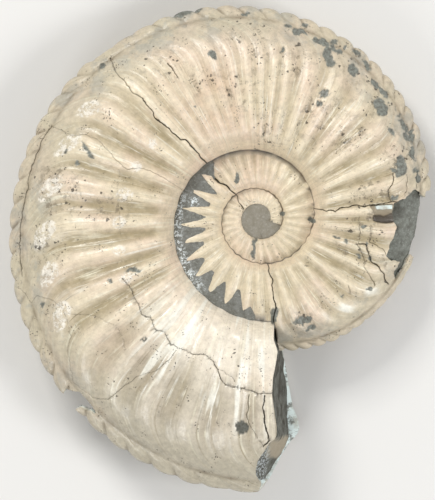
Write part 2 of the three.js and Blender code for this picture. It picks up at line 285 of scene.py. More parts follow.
def noise(points, size, seed=0):
    cells = np.asarray(points, float) / size + SEED_STEP * seed
    low = np.floor(cells).astype(int)
    part = cells - low
    part = part * part * (3 - 2 * part)
    total = np.zeros(len(cells))
    for corner in range(8):
        step = np.array([corner & 1, corner >> 1 & 1, corner >> 2 & 1])
        key = low + step
        mixed = noise_mix[key[:, 0] % NOISE_CELLS]
        mixed = noise_mix[(mixed + key[:, 1]) % NOISE_CELLS]
        mixed = noise_mix[(mixed + key[:, 2]) % NOISE_CELLS]
        total += noise_values[mixed] * np.prod(np.where(step, part, 1 - part), axis=1)
    return total


def rough_noise(points, size, seed=0, octaves=3):
    return sum(noise(points, size / 2**k, seed + k) / 2**k for k in range(octaves))


def flat(plan):
    return np.column_stack([plan, np.zeros(len(plan))])


# A shift in the plane for each point, made of noise
def wander(plan, size, seed):
    return np.stack([rough_noise(flat(plan), size, each) for each in (seed, seed + 4)], axis=1)


# Millimetres from the coil's axis for photo pixels
def on_coil(pixels):
    return (np.reshape(pixels, (-1, 2)) - CENTRE_PIXEL) * (PIXEL, -PIXEL)


def spot_distance(plan, *pixel):
    return np.linalg.norm(plan - on_coil(pixel), axis=1)


# Distance from points to a line through corners
def line_distance(points, corners):
    nearest = np.full(len(points), np.inf)
    for start, end in zip(corners[:-1], corners[1:]):
        run = end - start
        along = np.clip(((points - start) @ run) / max(run @ run, 1e-9), 0, 1)
        nearest = np.minimum(nearest, np.linalg.norm(points - start - along[:, None] * run, axis=1))
    return nearest


# Distance from points to a closed outline, negative inside it
def outline_distance(points, corners):
    inside = np.zeros(len(points), bool)
    closed = np.vstack([corners, corners[:1]])
    for (x0, y0), (x1, y1) in zip(closed[:-1], closed[1:]):
        crosses = (y0 > points[:, 1]) != (y1 > points[:, 1])
        if y0 != y1:
            inside ^= crosses & (points[:, 0] < x0 + (points[:, 1] - y0) * (x1 - x0) / (y1 - y0))
    return np.where(inside, -1, 1) * line_distance(points, closed)


# Lines and outlines are lists of photo pixels, the x and y of each corner by turns. The shown flank's cracks
# have a width in millimetres, and how dark they are, before that.
CRACKS = [
    (0.1, 0.7, [110, 59.8, 112.4, 63.8, 114.8, 71.7, 126, 83.7, 133.9, 94, 144.3, 99.6]),
    (0.14, 1, [144.3, 99.6, 153, 114.8, 161, 124.4, 169, 129.1, 180.2, 140.3, 185.7, 140.3]),
    (0.22, 1, [185.7, 140.3, 199.3, 154.7, 208, 164.2, 211, 170]),
    (0.4, 1, [211, 170, 214, 178, 219, 182]),
    (0.26, 1, [219, 182, 226, 185, 235, 194]),
    (0.12, 0.85, [236.5, 195, 239, 203, 243.5, 209.5]),
    (0.04, 0.55, [
        51.8, 126.8, 62.2, 129.1, 71.7, 136.3, 86.1, 135.5, 98.9, 141.1, 110, 151.5, 118, 161, 127.6, 170.6,
        138.7, 167.4, 149.9, 170.6, 162.6, 178.6, 173.8, 183.4, 182.6, 191.3,
    ]),
    (0.12, 0.8, [
        122.8, 277.1, 132.3, 289.9, 137.9, 302.6, 141.9, 313.8, 149.9, 317, 157, 329.7, 163.4, 332.1,
        170.6, 341.7, 180.2, 348.9, 191.3, 352, 205.7, 354.4, 213.6, 361.6, 218, 368.8, 219.6, 377.6,
    ]),
    (0.16, 0.8, [219.6, 377.6, 224.4, 385.5, 240.3, 387.1, 249.9, 389.5, 259.5, 392.7, 270.6, 391.9]),
    (0.05, 0.6, [218, 368, 224.4, 371.2, 233.9, 381.5]),
    (0.04, 0.6, [95.7, 398.3, 108.4, 399.1, 118, 391.9, 135.5, 377.6, 159.4, 368, 169, 358.4, 177, 350.4]),
    (0.04, 0.45, [
        16.7, 287.5, 23.9, 292.3, 31.9, 302.6, 38.3, 296.2, 51, 298.6, 60.6, 305.8, 65.4, 313.8,
        70.2, 329.7, 71.7, 336.9, 68.6, 348.9, 70.2, 364.8, 73.3, 382.3, 86.1, 391.9, 95.7, 398.3,
    ]),
    (0.14, 0.85, [
        314.9, 207.8, 326.4, 211.3, 333.3, 210.1, 335.6, 211.8, 339, 208.4, 355.1, 206.1, 368.9, 205,
        387.2, 202.7, 398.7, 201.5,
    ]),
    (0.16, 0.9, [
        358.5, 244, 365.4, 246.3, 368.9, 255.5, 371.2, 262.3, 378.1, 266.9, 382.7, 273.8, 385, 281.9,
        387.2, 285.3,
    ]),
    (0.15, 0.9, [
        267.4, 264.3, 268.2, 270.7, 273, 278.7, 270.6, 285.1, 273.8, 299.4, 275.4, 309, 273.8, 321.7,
    ]),
    (0.22, 1, [263.4, 395.1, 264.2, 417.4, 265.8, 430.2, 269, 439.7, 264.2, 446]),
    (0.08, 0.7, [
        52.8, 126.5, 42, 141, 34.5, 160.7, 28.5, 182, 24.7, 202.3, 21, 222, 19.8, 239, 20.5, 258,
        22.2, 275.6,
    ]),
    (0.12, 0.8, [393.6, 174, 393, 180, 387.8, 190, 388.2, 196, 391, 202]),
    (0.06, 0.6, [417.4, 171, 416.2, 179, 416.7, 188]),
    (0.06, 0.55, [405.9, 174.3, 408, 180, 405.1, 194.6]),
    (0.06, 0.6, [358.9, 224, 359.6, 237.9, 357.5, 245.1, 361, 252.4, 364.7, 268.3, 374.8, 285.6]),
    (0.08, 0.6, [370.5, 225, 371.2, 236.5, 369, 242.3, 382, 248, 385.6, 255.3]),
    (0.06, 0.6, [347.3, 286, 348.8, 294.3]),
    (0.06, 0.6, [249.1, 393.5, 247.5, 415.8, 251.5, 428.6, 264.2, 445.3]),
    (0.14, 0.85, [168, 64.5, 173.5, 71, 178.7, 78]),
    (0.03, 0.4, [119, 172, 118.5, 190, 120, 212, 121, 236]),
    (0.03, 0.45, [65.4, 313.8, 80, 314, 92, 314.6, 106, 321, 119.4, 329.4, 124, 340, 125.7, 349]),
]
CRACK_WANDER = 0.3

# Grey stone showing through the shell, as centre, half width, half height in pixels, and turn in degrees
PATCHES = [
    (241.9, 427, 6, 6.5, 0), (328, 57.4, 5, 11, 20), (352.7, 70.2, 4, 6, 30), (380.6, 107.6, 5, 10, 15),
    (401.4, 165.8, 5, 9, 10), (324, 94.1, 4.5, 4.5, 0), (318.4, 103.6, 3, 3, 0), (304.9, 26.3, 4, 3, 0),
    (366.3, 65.4, 3, 7, 40), (332.8, 41.5, 4, 3, 30), (411.7, 135.5, 2.5, 8, 0), (245.9, 15.1, 3, 2, 0),
    (281.8, 50.2, 2.5, 3.5, 0), (101.2, 66.2, 3.2, 3.2, 0), (88.5, 152, 2.2, 11, 38),
    (66.2, 151.5, 2.5, 2, 0), (78.1, 164.2, 2, 2.5, 0), (134.7, 269.9, 6.5, 2.2, 8),
    (111.6, 280.3, 2.5, 2, 0), (43.8, 305, 2, 2.5, 0), (302, 320.5, 10, 3.6, 18),
    (310, 328, 5, 2.6, 40), (212.9, 55.8, 3, 5, 20), (195.3, 108.4, 2, 2.5, 0),
    (144.3, 339.3, 2.5, 1.5, 30), (237.5, 178.5, 3, 5, -15), (282.5, 213.5, 3, 2, 0),
    (311, 219.5, 4, 2.5, -30), (253.5, 249, 2.2, 11, -8), (274.3, 316, 3, 9, -5), (357, 52, 2, 5, 40),
    (345, 48, 3, 2, 30), (392, 132, 2, 5, 20), (413, 150, 2, 5, 0), (393.5, 199, 4, 2.5, 20),
    (184.5, 13, 19, 3, 11), (395, 172, 7, 3, -20), (362, 226, 4, 1.6, 0), (360, 257, 2, 3, 0),
    (369.5, 257.5, 1.6, 3.2, 10), (368.5, 288.5, 3.4, 1.8, 15), (341.5, 296.5, 2.4, 1.4, 20),
    (337, 237.5, 3.6, 1.4, -20), (345, 241.5, 3, 1.4, -30), (366, 245, 1.6, 2.6, -20),
]

# Shell broken away, as closed outlines that reach out past the keel
SIDE_BREAK = [
    397.6, 202.7, 400, 200, 405, 198.9, 409, 194, 412, 190.5, 416, 189.5, 420, 193, 423.9, 197.5, 427, 191,
    440, 188, 448, 290, 411, 255.5, 408.5, 259.5, 406.6, 262, 402.3, 269, 395.3, 279.6, 394.1, 273.8,
    398.7, 262.3, 389.5, 260.1, 385.5, 256.6, 390.7, 244, 395.3, 226.8, 391.8, 211.8, 394.1, 202.7,
]
KEEL_NOTCH = [
    66, 388, 72.6, 391.2, 77.4, 391.2, 87, 397.9, 92.7, 405.6, 96.1, 413.2, 93.7, 414.7, 90.8, 411.3,
    86, 410.4, 81.2, 407.5, 76, 408.4, 70, 412, 60, 400,
]

# The share from which the side break takes the hidden flank too, and the growth angles it lies between, as a
# middle and a reach
SIDE_BREAK_BEHIND = 0.84
SIDE_BREAK_MIDDLE = -5
SIDE_BREAK_REACH = 40

# A recess where only the outer layer has flaked off, with a strip of mother-of-pearl and a hollow in it
FLAKE = [369, 205.5, 378, 204.5, 393, 204, 395, 222, 384, 223, 373.5, 220.5, 373.5, 214]
NACRE_STRIP = [374.5, 205.8, 391, 204.8, 391.5, 209, 376, 210]
# The hollow is painted dark as its shadow
HOLLOW = [372.5, 215, 384, 216.5, 392, 213, 395, 215, 395.5, 223, 385, 223, 373, 220.5]

# Bare patches run together in a belt beside the keel, between two growth angles
BELT_SHARE = 0.9
BELT_WIDTH = 0.05
BELT_ENDS = ((2, 12), (78, 92))
PATCH_WANDER = 0.5

# The distance given on the flank and the whorls that a feature isn't on
FAR = 9


# Distance to the nearest crack's edge, and how dark that crack is
def crack_distance(plan):
    shifted = plan + CRACK_WANDER * wander(plan, 1.6, CRACK_SEED)
    nearest = np.full(len(plan), np.inf)
    darkness = np.zeros(len(plan))
    for width, dark, pixels in CRACKS:
        apart = line_distance(shifted, on_coil(pixels)) - width / 2
        darkness = np.where(apart < nearest, dark, darkness)
        nearest = np.minimum(nearest, apart)
    return nearest, darkness


# Distance to the edge of the nearest bare patch, negative on it
def patch_distance(plan, angle, share):
    shifted = plan + PATCH_WANDER * wander(plan, 1.0, PATCH_SEED)
    belt = bell(share, BELT_SHARE, BELT_WIDTH) * between(angle, *BELT_ENDS)
    nearest = 1.2 * (1.1 - belt * (0.9 + rough_noise(flat(plan), 1.8, BELT_SEED, 4)))
    for x, y, half_width, half_height, turn in PATCHES:
        c, s = math.cos(math.radians(turn)), math.sin(math.radians(turn))
        apart = (shifted - on_coil([x, y])) @ np.array([[c, -s], [s, c]])
        radii = np.array([half_width, half_height]) * PIXEL
        nearest = np.minimum(nearest, (np.linalg.norm(apart / radii, axis=1) - 1) * radii.min())
    return nearest


# Distance to a closed outline in pixels whose edge is made ragged by an amount
def ragged_outline(plan, pixels, amount, seed):
    return outline_distance(plan + amount * wander(plan, 1.5, seed), on_coil(pixels))


# Places on the shell from lattice numbers: columns run along the coil, rows from the shown seam over the keel
START_ANGLE = MOUTH_ANGLE - COLUMNS
LAST_WHORL_COLUMN = COLUMNS - WHORL
OPEN_SHARE = float(open_share(MOUTH_ANGLE - WHORL))


def row_share(row):
    row = np.minimum(row, 2 * ROWS_FLANK - row)
    opened = np.clip(row / ROWS_OPEN, 0, 1)
    covered = np.clip((row - ROWS_OPEN) / ROWS_COVERED, 0, 1)
    return OPEN_SHARE * opened * (0.6 + 0.4 * opened) + (1 - OPEN_SHARE) * covered * (1.3 - 0.3 * covered)


def lattice_place(column, row):
    share = row_share(row)
    angle = START_ANGLE + column
    side = np.where(row <= ROWS_FLANK, 1, -1)
    mouth = np.where(side > 0, read(MOUTH_SHOWN, share), read(MOUTH_HIDDEN, share))
    near = ease(MOUTH_ANGLE - MOUTH_SPREAD, MOUTH_ANGLE, angle)
    angle = angle + (mouth - MOUTH_ANGLE) * near
    inner = angle < MOUTH_ANGLE - WHORL - 1e-6
    begin = 1 - ease(START_ANGLE, START_ANGLE + START_SPREAD, angle)
    angle = angle + START_ROUND * begin * np.sin(np.pi * np.clip(share / OPEN_SHARE, 0, 1))
    share = np.where(inner & (share <= OPEN_SHARE + 1e-9), share * open_share(angle) / OPEN_SHARE, share)
    return angle, share, side


def plan_of(angle, radius):
    turn = np.radians(angle)
    return np.stack([radius * np.cos(turn), radius * np.sin(turn)], axis=1)


# Degrees around the axis, from 0 to 360
def turn_of(points):
    return np.degrees(np.arctan2(points[:, 1], points[:, 0])) % WHORL


# The largest cell allowed at each place, in the lattice's finest steps
def cell_limit(angle, share, side, reach):
    plan = plan_of(angle, radius_at(angle, share))
    shown = side > 0
    last = angle > MOUTH_ANGLE - WHORL
    limit = np.where(last, BLOCK // 2, BLOCK)
    limit[last & (share > KEEL_FINE_SHARE)] = BLOCK // 4
    limit[angle > MOUTH_ANGLE - MOUTH_FINE_ANGLE] = BLOCK // 4
    limit[shown & (seam_distance(angle, share) < reach + 0.1)] = BLOCK // 8
    limit[shown & (np.abs(patch_distance(plan, angle, share)) < reach + 0.02)] = BLOCK // 8
    fine = crack_distance(plan)[0]
    for outline in (FLAKE, NACRE_STRIP, HOLLOW):
        fine = np.where(last, np.minimum(fine, np.abs(outline_distance(plan, on_coil(outline)))), fine)
    fine = np.where(shown, fine, FAR)
    for outline in (SIDE_BREAK, KEEL_NOTCH):
        edge = np.abs(outline_distance(plan, on_coil(outline))) - BREAK_FINE
        fine = np.where(last & (share > 0.5), np.minimum(fine, edge), fine)
    return np.where(fine < reach, np.where(shown, 1, 2), limit)


# The cells of the lattice, as rows of (column, row, size) in its finest steps
def lattice_cells():
    columns, rows = np.arange(0, COLUMNS * FINEST, BLOCK), np.arange(0, 2 * ROWS_FLANK * FINEST, BLOCK)
    cells = np.stack([values.ravel() for values in np.meshgrid(columns, rows, indexing="ij")], axis=1)
    covered = np.abs(cells[:, 1] + BLOCK / 2 - ROWS_FLANK * FINEST) < (ROWS_FLANK - ROWS_OPEN) * FINEST
    cells = cells[(cells[:, 0] >= LAST_WHORL_COLUMN * FINEST) | ~covered]
    done = []
    size = BLOCK
    while size > 1:
        middle = (cells + size / 2) / FINEST
        angle, share, side = lattice_place(middle[:, 0], middle[:, 1])
        along = np.radians(size / FINEST) * radius_at(angle, share)
        across = size / FINEST * whorl_height(angle) / ROWS_FLANK
        split = cell_limit(angle, share, side, 0.5 * np.hypot(along, across)) < size
        split &= np.maximum(along, across) > SMALL_CELL
        done.append(np.column_stack([cells[~split], np.full(np.sum(~split), size)]))
        size //= 2
        quarters = ((0, 0), (1, 0), (0, 1), (1, 1))
        cells = np.concatenate([cells[split] + size * np.array(step) for step in quarters])
    done.append(np.column_stack([cells, np.ones(len(cells), int)]))
    return np.concatenate(done)


# A lattice point's own numbers: where a whorl meets the next one, their seam is one line of points
def seam_joined(i, j):
    if i <= LAST_WHORL_COLUMN * FINEST:
        if j == ROWS_OPEN * FINEST:
            return i + WHORL * FINEST, 0
        if j == (2 * ROWS_FLANK - ROWS_OPEN) * FINEST:
            return i + WHORL * FINEST, 2 * ROWS_FLANK * FINEST
    return i, j


# The steps round a cell's edge, from its first corner back to it
def cell_edge(i, j, size):
    edge = [(i + k, j) for k in range(size)]
    edge += [(i + size, j + k) for k in range(size)]
    edge += [(i + size - k, j + size) for k in range(size)]
    edge += [(i, j + size - k) for k in range(size)]
    return [seam_joined(*step) for step in edge]


# The faces of the lattice, as lists of vertex numbers, and the place of each vertex. A face takes in the
# corners that smaller neighbours have along its edges.
def lattice_faces():
    edges = [cell_edge(*cell) for cell in lattice_cells().tolist()]
    numbers = {}
    for edge in edges:
        for corner in edge[:: len(edge) // 4]:
            numbers.setdefault(corner, len(numbers))
    faces = [[numbers[step] for step in edge if step in numbers] for edge in edges]
    return faces, np.array(list(numbers), float) / FINEST


def seam_distance(angle, share):
    last = angle > MOUTH_ANGLE - WHORL
    to_next = np.where(last, np.inf, open_share(angle) - share)
    return np.minimum(share, to_next) * whorl_height(angle)


# Masks of the shell's small features, from how far each place is from them
def feature_masks(angle, share, side, plan):
    shown = side > 0
    last = angle > MOUTH_ANGLE - WHORL
    crack, darkness = crack_distance(plan)
    crack = np.where(shown, crack, FAR)
    patch = np.where(shown, patch_distance(plan, angle, share), FAR)
    flake, strip, hollow = (
        np.where(shown & last, ragged_outline(plan, outline, 0.2, FLAKE_SEED), FAR)
        for outline in (FLAKE, NACRE_STRIP, HOLLOW)
    )
    space = np.column_stack([plan, side * FLANKS_APART])
    seam = seam_distance(angle, share) + 0.12 * noise(space, 1.2, SEAM_SEED)
    return {
        "crack": darkness * (1 - ease(-0.04, 0.09, crack)),
        "patch": within(patch),
        "flake": within(flake),
        "nacre": within(strip),
        "hollow": within(hollow, 0.15),
        "seam": 1 - ease(0.02, 0.16, seam),
        "groove": bell(share, KEEL_BASE, KEEL_GROOVE_WIDTH),
    }


# The height that small features, growth lines and a slight unevenness put on the shell's outside
def fine_height(angle, share, side, plan, masks):
    lines = np.column_stack([angle * 1.7 - 1.7 * rib_bend(share), share * 3, side * 3.0])
    height = GROWTH_RISE * noise(lines, 1, GROWTH_SEED) * between(share, (0.03, 0.15), (0.9, 0.93))
    for name, rise in FEATURE_RISES.items():
        height += rise * masks[name]
    space = np.column_stack([plan, side * FLANKS_APART])
    return height + SURFACE_RISE * rough_noise(space, 5, SURFACE_SEED)


# The keel's beads, from 0 in the creases between them to 1 on their backs. Each leans forward like a scale.
def bead_back(angle, share):
    turn = (angle - BEAD_SWEEP * (share - KEEL_BASE)) / BEAD_STEP
    return np.abs(np.sin(np.pi * turn)) ** 0.5


def shell_points(angle, share, side, inset=0.0):
    cord = ease(KEEL_BASE, 1, share)
    worn = read(KEEL_WEAR, angle)
    beads = 1 - (1 - bead_back(angle, share)) * (1 - worn)
    radius = radius_at(angle, share) + cord * (BEAD_RISE * (beads - BEAD_MEAN) - worn)
    plan = plan_of(angle, radius)
    masks = feature_masks(angle, share, side, plan)
    fine = fine_height(angle, share, side, plan, masks)
    masks["crease"] = ease(KEEL_BASE, 0.945, share) * (1 - ease(0.3, 0.65, beads))
    swell = BEAD_SWELL * (beads - 0.5) * bell(share, *BEAD_SWELL_AT)
    tall = np.maximum(flank_height(angle, share) + fine + swell - inset, 0)
    z = side * np.where(share > 1 - 1e-6, 0, tall)
    return np.column_stack([plan, z]), masks


# Puts coil millimetres into the frame in metres, and keeps them inside the solid's box
tilt = Euler((math.radians(TILT_X), math.radians(TILT_Y), 0)).to_matrix()


def in_frame(points):
    laid = (np.asarray(points) @ np.array(tilt).T + np.array(COIL_AT)) * MM
    return np.clip(laid, cad_box[0], cad_box[1])


def add_object(name, data):
    thing = bpy.data.objects.new(name, data)
    bpy.context.scene.collection.objects.link(thing)
    return thing


def make_object(name, points, faces, material, masks):
    mesh = bpy.data.meshes.new(name)
    mesh.from_pydata(in_frame(points).tolist(), [], [list(map(int, face)) for face in faces])
    for mask, values in masks.items():
        mesh.attributes.new(mask, "FLOAT", "POINT").data.foreach_set("value", np.asarray(values, np.float32))
    mesh.polygons.foreach_set("use_smooth", np.ones(len(mesh.polygons), bool))
    mesh.materials.append(material)
    return add_object(name, mesh)


# Growth angles where the shell has gone white and flaky
CHALK_ENDS = ((130, 147), (205, 225))


# White flakes lie on the crests, near the seam and near the keel
def chalk_mask(angle, share, side):
    bands = bell(share, 0.79, 0.07) + 0.8 * bell(share, 0.34, 0.05)
    reach = between(angle, *CHALK_ENDS)
    crest = 1 - rib_dip(angle, share) ** 0.7
    return np.clip(bands * reach * crest, 0, 1) * (side > 0)


# Where dark pores crowd: places in pixels, with a radius
PITTED = [
    (385, 90, 45), (405, 150, 35), (350, 60, 35), (305, 322, 18), (60, 190, 40), (45, 250, 30), (300, 60, 30),
    (320, 120, 40), (160, 60, 30), (205, 80, 25), (240, 90, 30), (250, 40, 40), (370, 200, 30),
    (110, 210, 30), (362, 228, 26), (350, 248, 22), (393, 264, 18), (275, 130, 30), (345, 130, 30),
]


# Round spots, as places and radii in pixels: 1 out to a part of the radius, fading to 0 at its edge
def spots_mask(plan, spots, full=0.4):
    mask = np.zeros(len(plan))
    for x, y, radius in spots:
        mask = np.maximum(mask, 1 - ease(full, 1, spot_distance(plan, x, y) / (radius * PIXEL)))
    return mask


# Rib ends with a painted highlight: places in pixels, with a radius
HIGHLIGHT_SPOTS = [(346, 309, 11), (372, 292, 10)]


def highlight_spot_mask(plan, angle, share, side):
    crest = 1 - ease(0.15, 0.6, rib_dip(angle, share))
    return spots_mask(plan, HIGHLIGHT_SPOTS) * crest * bell(share, 0.75, 0.12) * (side > 0)


# How strongly the valleys are darkened at each growth angle: partly their olive tone, partly painted shade
# that is stronger on some sides of the coil
VALLEY_SHADE_AND_TONE = [
    [-120, 0.45], [-60, 0.5], [-30, 0.75], [0, 0.8], [30, 0.75], [60, 0.6], [90, 0.4], [120, 0.25],
    [145, 0.8], [210, 0.9], [240, 0.9], [270, 0.8],
]


# Edges that only one face uses, in the direction that face runs
def open_edges(faces):
    used = {}
    for face in faces:
        for a, b in zip(face, face[1:] + face[:1]):
            if (b, a) in used:
                del used[(b, a)]
            else:
                used[(a, b)] = True
    return list(used)


def material_masks(points, angle, share, side):
    depth = rib_strength(angle, share) * np.minimum(rib_rise(angle) / 0.4, 1)
    return {
        # How deep in a valley, for the valleys' olive tone and painted shade
        "valley": rib_dip(angle, share) * depth * read(VALLEY_SHADE_AND_TONE, angle),
        "chalk": chalk_mask(angle, share, side),
        "pitted": spots_mask(points[:, :2], PITTED) * (side > 0),
        "shining": highlight_spot_mask(points[:, :2], angle, share, side),
        "gloss": ease(205, 240, angle),
        "belt": ease(0.66, 0.88, share),
        "growth": rib_number(angle - rib_bend(share)),
        "share": share,
        "rim": np.zeros(len(points)),
    }


# True for the faces that the broken side and the notch take away
def broken_faces(middles, angle, share):
    last = angle > MOUTH_ANGLE - WHORL
    near = np.abs(angle - SIDE_BREAK_MIDDLE) < SIDE_BREAK_REACH
    behind = (middles[:, 2] < 0) & (share < SIDE_BREAK_BEHIND)
    side = ragged_outline(middles[:, :2], SIDE_BREAK, 0.3, BREAK_SEED) < 0
    notch = ragged_outline(middles[:, :2], KEEL_NOTCH, 0.2, NOTCH_SEED) < 0
    return last & ((side & ~behind & near) | notch)


def face_means(values, faces):
    return np.array([values[face].mean(axis=0) for face in faces])


# Closes the first whorl's open edges to a point on each flank, and lists the broken edges with their rings
def sort_edges(faces, places, side):
    whole = places[:, 0] > LAST_WHORL_COLUMN + 2
    at_mouth = places[:, 0] > COLUMNS - 1e-6
    middles = {1: len(places), -1: len(places) + 1}
    caps = []
    broken = []
    for a, b in open_edges(faces):
        if whole[a] and whole[b]:
            broken.append((a, b, RIM_RINGS if at_mouth[a] and at_mouth[b] else RIM_RINGS[:1]))
        else:
            caps.append([b, a, middles[int(side[a])]])
    return caps, broken


# The faces of the shell's thickness along its broken edges, and the number of each new point by its corner
# and ring
def rim_faces(broken, start):
    rim = {}
    for a, b, rings in broken:
        for corner in (a, b):
            for ring in rings:
                rim.setdefault((corner, ring), start + len(rim))
    faces = []
    for a, b, rings in broken:
        for outer, inner in zip([None, *rings], rings):
            near_a, near_b = (rim.get((corner, outer), corner) for corner in (a, b))
            faces.append([near_b, near_a, rim[(a, inner)], rim[(b, inner)]])
    return faces, rim


# Points under the shell, set back from its edge: as deep as it is thick, and pulled inwards at the keel
def under_points(backs, points, angle, share, side):
    inset = np.minimum(SHELL_WALL, 0.7 * np.abs(points[:, 2]) + 0.15)
    under, _ = shell_points(angle - backs, share, side, inset)
    pulled = 1 - (share > KEEL_BASE) * RIM_PULL / np.linalg.norm(under[:, :2], axis=1)
    under[:, :2] *= pulled[:, None]
    return under


# Leaves out the points that no face uses, and their masks
def used_points(points, faces, masks):
    used = np.unique([corner for face in faces for corner in face])
    numbers = np.zeros(len(points), int)
    numbers[used] = np.arange(len(used))
    masks = {mask: values[used] for mask, values in masks.items()}
    return points[used], [numbers[face].tolist() for face in faces], masks


def make_shell(material):
    faces, places = lattice_faces()
    angle, share, side = lattice_place(places[:, 0], places[:, 1])
    points, masks = shell_points(angle, share, side)
    masks.update(material_masks(points, angle, share, side))
    gone = broken_faces(face_means(points, faces), face_means(angle, faces), face_means(share, faces))
    faces = [face for face, left_out in zip(faces, gone) if not left_out]
    caps, broken = sort_edges(faces, places, side)
    walls, rim = rim_faces(broken, len(points) + len(CENTRE_ENDS))
    corners, backs = np.array(list(rim)).T
    under = under_points(backs, points[corners], angle[corners], share[corners], side[corners])
    for mask, values in masks.items():
        kept = values[corners] if mask in ("growth", "share") else np.full(len(corners), float(mask == "rim"))
        masks[mask] = np.concatenate([values, np.zeros(len(CENTRE_ENDS)), kept])
    mesh = used_points(np.vstack([points, CENTRE_ENDS, under]), faces + caps + walls, masks)
    return make_object("ammonite_shell", *mesh[:2], material, mesh[2])


# Noise of the looks: scale, detail, roughness, the two levels it fades between, and what it gives there if
# that isn't 0 and 1
BLOTS = {
    "pink": (90, 3, 0.55, 0.4, 0.62),
    "waver": (240, 4, 0.55, 0.3, 0.7, -0.3, 0.3),
    "film": (170, 5, 0.65, 0.5, 0.6, 0, 0.5),
    "glint": (120, 2, 0.55, 0.42, 0.55),
    "scratch": (150, 3, 0.55, 0.45, 0.6),
    "edge": (180, 3, 0.55, 0.4, 0.55),
    "flaky": (800, 6, 0.8, 0.46, 0.52),
    "stain": (45, 5, 0.6, 0.62, 0.8, 0, 0.35),
    "dirt": (560, 5, 0.75, 0.52, 0.6, 0, 0.7),
    "crowd": (70, 3, 0.55, 0.45, 0.7, 0, 0.14),
    "pores": (420, 2, 0.55, 0.5, 0.56),
    "small_pores": (300, 3, 0.55, 0.56, 0.64),
    "seam": (160, 3, 0.55, 0.42, 0.55),
    "crease_shade_noise": (260, 3, 0.55, 0.4, 0.65, 0.1, 0.6),
    "mottle": (700, 6, 0.75, 0.3, 0.7, 0.78, 1.14),
    "bare_stone": (1800, 3, 0.55, 0.35, 0.65),
    "dull_pearl": (380, 3, 0.55, 0.45, 0.62, 0, 0.6),
    "dark_pearl": (330, 4, 0.7, 0.54, 0.6, 0, 0.8),
    "roughness": (200, 3, 0.55, 0.3, 0.7, 0.3, 0.46),
    "stone": (900, 4, 0.7, 0.35, 0.65),
    "pale_grains": (2500, 2, 0.55, 0.55, 0.7, 0, 0.4),
    "needles": (1900, 3, 0.85, 0.5, 0.57),
}

# Noise drawn out along the growth lines: how fine along the coil and across it, its place, then as above
STREAKS = {
    "pale": (9, 3, 0, 1.0, 4, 0.65, 0.55, 0.68, 0, 0.75),
    "dull": (5, 1, 3, 1.3, 4, 0.55, 0.52, 0.8, 0, 0.45),
    "glint": (7, 2.2, 5, 1.0, 3, 0.55, 0.6, 0.66),
    "scratch": (15, 2.5, 9, 1.0, 4, 0.55, 0.38, 0.32),
    "highlight_bars": (2.3, 1.6, 2, 1.0, 2, 0.55, 0.56, 0.62),
}

# How strongly each colour covers what is under it
COVER = {
    "pearl": 0.85, "belt": 0.45, "scratch": 0.65, "highlight_bars": 0.75, "shining": 0.85, "edge": 0.5, "chalk": 0.85,
    "pores": 0.8, "seam": 0.95, "stone_shade": 0.6, "crack": 0.92,
}


class Nodes:
    """Short ways to add shader nodes to one material."""

    def __init__(self, name):
        self.material = bpy.data.materials.new(name)
        self.material.use_nodes = True
        self.tree = self.material.node_tree
        self.shader = self.tree.nodes["Principled BSDF"]

    def add(self, kind, inputs=None, **settings):
        node = self.tree.nodes.new(kind)
        for key, value in settings.items():
            setattr(node, key, value)
        for key, value in (inputs or {}).items():
            self.put(node.inputs[key], value)
        return node

    def put(self, socket, value):
        if isinstance(value, bpy.types.NodeSocket):
            self.tree.links.new(value, socket)
        else:
            socket.default_value = value

    def look(self, name, value):
        self.put(self.shader.inputs[name], value)

    def math(self, operation, a, b=0.0, c=0.0):
        return self.add("ShaderNodeMath", {0: a, 1: b, 2: c}, operation=operation).outputs[0]

    def times(self, first, *others):
        for value in others:
            first = self.math("MULTIPLY", first, value)
        return first

    def mask(self, name):
        return self.add("ShaderNodeAttribute", attribute_name=name).outputs["Fac"]

    def mix(self, amount, a, b, kind="MIX"):
        inputs = {"Factor": amount, "A": a, "B": b}
        return self.add("ShaderNodeMix", inputs, data_type="RGBA", blend_type=kind).outputs["Result"]

    def ramp(self, value, low, high, to_low=0.0, to_high=1.0):
        inputs = {"Value": value, "From Min": low, "From Max": high, "To Min": to_low, "To Max": to_high}
        return self.add("ShaderNodeMapRange", inputs).outputs["Result"]

    def place(self):
        return self.add("ShaderNodeTexCoord").outputs["Object"]

    def noise(self, vector, scale, detail=4.0, roughness=0.55):
        inputs = {"Vector": vector, "Scale": scale, "Detail": detail, "Roughness": roughness}
        return self.add("ShaderNodeTexNoise", inputs).outputs["Fac"]

    def blots(self, name):
        scale, detail, roughness, *levels = BLOTS[name]
        return self.ramp(self.noise(self.place(), scale, detail, roughness), *levels)

    # Places for noise that is drawn out along the growth lines
    def along_growth(self, fine, across, at):
        return self.join(self.times(self.mask("growth"), fine), self.times(self.mask("share"), across), at)

    def streaks(self, name):
        fine, across, at, scale, detail, roughness, *levels = STREAKS[name]
        return self.ramp(self.noise(self.along_growth(fine, across, at), scale, detail, roughness), *levels)

    def cells(self, vector, scale):
        return self.add("ShaderNodeTexVoronoi", {"Vector": vector, "Scale": scale}).outputs["Distance"]

    # Places pushed about by noise, by up to an amount in metres
    def ruffle(self, vector, scale, amount):
        noise = self.add("ShaderNodeTexNoise", {"Vector": vector, "Scale": scale, "Detail": 3.0})
        push = {0: noise.outputs["Color"], 1: (amount, amount, amount), 2: vector}
        return self.add("ShaderNodeVectorMath", push, operation="MULTIPLY_ADD").outputs[0]

    def join(self, x, y, z):
        return self.add("ShaderNodeCombineXYZ", {0: x, 1: y, 2: z}).outputs[0]

    def bump(self, height, depth, strength):
        inputs = {"Height": height, "Distance": depth, "Strength": strength}
        self.look("Normal", self.add("ShaderNodeBump", inputs).outputs["Normal"])


